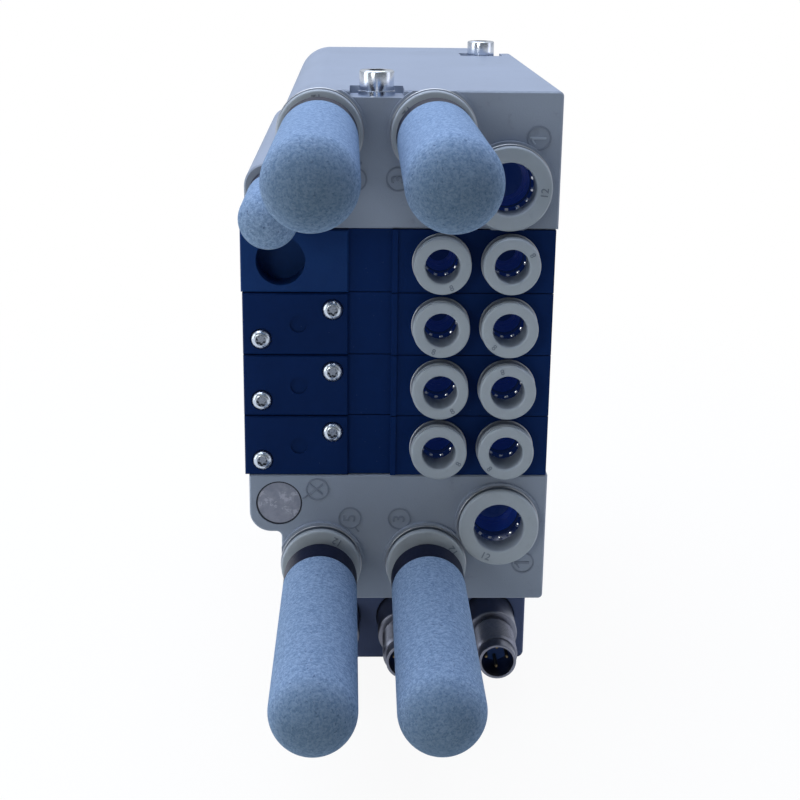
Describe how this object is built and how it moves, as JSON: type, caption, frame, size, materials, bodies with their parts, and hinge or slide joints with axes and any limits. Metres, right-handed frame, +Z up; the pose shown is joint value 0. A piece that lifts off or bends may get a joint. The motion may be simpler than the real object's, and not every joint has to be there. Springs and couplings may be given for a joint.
{
  "type": "pneumatic valve island",
  "caption": "Valve island: navy valve stations with push-in tube ports between two grey end plates, porous silencers in the exhausts and a bus module with round connectors below.",
  "frame": {"origin": "middle of the bus module's flat underside", "axes": "+X towards the mounting side, +Y to the back away from the tube ports, +Z up through the stack of stations"},
  "size_m": [0.079, 0.2422, 0.1741],
  "materials": {
    "plate_grey": "fine moulded grain, light blue-grey",
    "base_navy": "moulded, deep navy",
    "valve_navy": "moulded, deep navy",
    "pilot_black": "moulded, near black",
    "seal_rubber": "soft black",
    "ring_grey": "acetal, satin",
    "sleeve_nickel": "nickel-plated brass",
    "collet_steel": "spring steel",
    "screw_zinc": "bright zinc",
    "insert_brass": "turned",
    "holder_black": "moulded black",
    "porous_blue_grey": "sintered, granular",
    "plug_grey": "moulded, scuffed",
    "module_slate": "moulded, dark slate",
    "board_green": "circuit board",
    "connector_dark_metal": "dark nickel plate",
    "insert_black": "moulded black",
    "pin_gold": "gold plated",
    "spool_aluminium": "turned"
  },
  "bodies": {
    "island": {"base_plate_1": "base_navy", "base_plate_2": "base_navy", "base_plate_3": "base_navy", "base_plate_4": "base_navy", "blanking_block": "valve_navy", "collets_12": "collet_steel", "collets_8": "collet_steel", "connector_inserts": "insert_black", "connector_pins": "pin_gold", "connector_shells": "connector_dark_metal", "cover_screws": "screw_zinc", "lower_end_plate": "plate_grey", "module_board": "board_green", "module_cover": "module_slate", "module_housing": "module_slate", "module_screws": "screw_zinc", "pilot_head_2": "pilot_black", "pilot_head_3": "pilot_black", "pilot_head_4": "pilot_black", "pilot_port_plug": "plug_grey", "pilot_screws": "screw_zinc", "pilot_silencer": "porous_blue_grey", "port_sleeves_12": "sleeve_nickel", "port_sleeves_8": "sleeve_nickel", "silencer_holders": "holder_black", "silencer_lower_3": "porous_blue_grey", "silencer_lower_5": "porous_blue_grey", "silencer_upper_3": "porous_blue_grey", "silencer_upper_5": "porous_blue_grey", "station_seals": "seal_rubber", "tie_inserts": "insert_brass", "tie_screws": "screw_zinc", "tie_washers": "screw_zinc", "tube_seals_12": "seal_rubber", "tube_seals_8": "seal_rubber", "upper_end_plate": "plate_grey", "valve_body_2": "valve_navy", "valve_body_3": "valve_navy", "valve_body_4": "valve_navy", "valve_cover_2": "valve_navy", "valve_cover_3": "valve_navy", "valve_cover_4": "valve_navy", "valve_screws": "screw_zinc"},
    "release_ring_1_2_body": {"release_ring_1_2": "ring_grey"},
    "release_ring_1_4_body": {"release_ring_1_4": "ring_grey"},
    "release_ring_2_2_body": {"release_ring_2_2": "ring_grey"},
    "release_ring_2_4_body": {"release_ring_2_4": "ring_grey"},
    "release_ring_3_2_body": {"release_ring_3_2": "ring_grey"},
    "release_ring_3_4_body": {"release_ring_3_4": "ring_grey"},
    "release_ring_4_2_body": {"release_ring_4_2": "ring_grey"},
    "release_ring_4_4_body": {"release_ring_4_4": "ring_grey"},
    "release_ring_lower_1_body": {"release_ring_lower_1": "ring_grey"},
    "release_ring_lower_3_body": {"release_ring_lower_3": "ring_grey"},
    "release_ring_lower_5_body": {"release_ring_lower_5": "ring_grey"},
    "release_ring_upper_1_body": {"release_ring_upper_1": "ring_grey"},
    "release_ring_upper_3_body": {"release_ring_upper_3": "ring_grey"},
    "release_ring_upper_5_body": {"release_ring_upper_5": "ring_grey"},
    "spool_2_body": {"spool_2": "spool_aluminium"},
    "spool_3_body": {"spool_3": "spool_aluminium"},
    "spool_4_body": {"spool_4": "spool_aluminium"}
  },
  "joints": [
    {"name": "release_ring_1_2_press", "type": "slide", "parent": "island", "child": "release_ring_1_2_body", "axis": [0, 1, 0], "range_m": [0, 0.0014], "stiffness_N_per_m": 800},
    {"name": "release_ring_1_4_press", "type": "slide", "parent": "island", "child": "release_ring_1_4_body", "axis": [0, 1, 0], "range_m": [0, 0.0014], "stiffness_N_per_m": 800},
    {"name": "release_ring_2_2_press", "type": "slide", "parent": "island", "child": "release_ring_2_2_body", "axis": [0, 1, 0], "range_m": [0, 0.0014], "stiffness_N_per_m": 800},
    {"name": "release_ring_2_4_press", "type": "slide", "parent": "island", "child": "release_ring_2_4_body", "axis": [0, 1, 0], "range_m": [0, 0.0014], "stiffness_N_per_m": 800},
    {"name": "release_ring_3_2_press", "type": "slide", "parent": "island", "child": "release_ring_3_2_body", "axis": [0, 1, 0], "range_m": [0, 0.0014], "stiffness_N_per_m": 800},
    {"name": "release_ring_3_4_press", "type": "slide", "parent": "island", "child": "release_ring_3_4_body", "axis": [0, 1, 0], "range_m": [0, 0.0014], "stiffness_N_per_m": 800},
    {"name": "release_ring_4_2_press", "type": "slide", "parent": "island", "child": "release_ring_4_2_body", "axis": [0, 1, 0], "range_m": [0, 0.0014], "stiffness_N_per_m": 800},
    {"name": "release_ring_4_4_press", "type": "slide", "parent": "island", "child": "release_ring_4_4_body", "axis": [0, 1, 0], "range_m": [0, 0.0014], "stiffness_N_per_m": 800},
    {"name": "release_ring_lower_1_press", "type": "slide", "parent": "island", "child": "release_ring_lower_1_body", "axis": [0, 1, 0], "range_m": [0, 0.0008], "stiffness_N_per_m": 800},
    {"name": "release_ring_lower_3_press", "type": "slide", "parent": "island", "child": "release_ring_lower_3_body", "axis": [0, 1, 0], "range_m": [0, 0.0008], "stiffness_N_per_m": 800},
    {"name": "release_ring_lower_5_press", "type": "slide", "parent": "island", "child": "release_ring_lower_5_body", "axis": [0, 1, 0], "range_m": [0, 0.0008], "stiffness_N_per_m": 800},
    {"name": "release_ring_upper_1_press", "type": "slide", "parent": "island", "child": "release_ring_upper_1_body", "axis": [0, 1, 0], "range_m": [0, 0.0008], "stiffness_N_per_m": 800},
    {"name": "release_ring_upper_3_press", "type": "slide", "parent": "island", "child": "release_ring_upper_3_body", "axis": [0, 1, 0], "range_m": [0, 0.0008], "stiffness_N_per_m": 800},
    {"name": "release_ring_upper_5_press", "type": "slide", "parent": "island", "child": "release_ring_upper_5_body", "axis": [0, 1, 0], "range_m": [0, 0.0008], "stiffness_N_per_m": 800},
    {"name": "spool_2_shift", "type": "slide", "parent": "island", "child": "spool_2_body", "axis": [0, -1, 0], "range_m": [0, 0.003]},
    {"name": "spool_3_shift", "type": "slide", "parent": "island", "child": "spool_3_body", "axis": [0, -1, 0], "range_m": [0, 0.003]},
    {"name": "spool_4_shift", "type": "slide", "parent": "island", "child": "spool_4_body", "axis": [0, -1, 0], "range_m": [0, 0.003]}
  ]
}
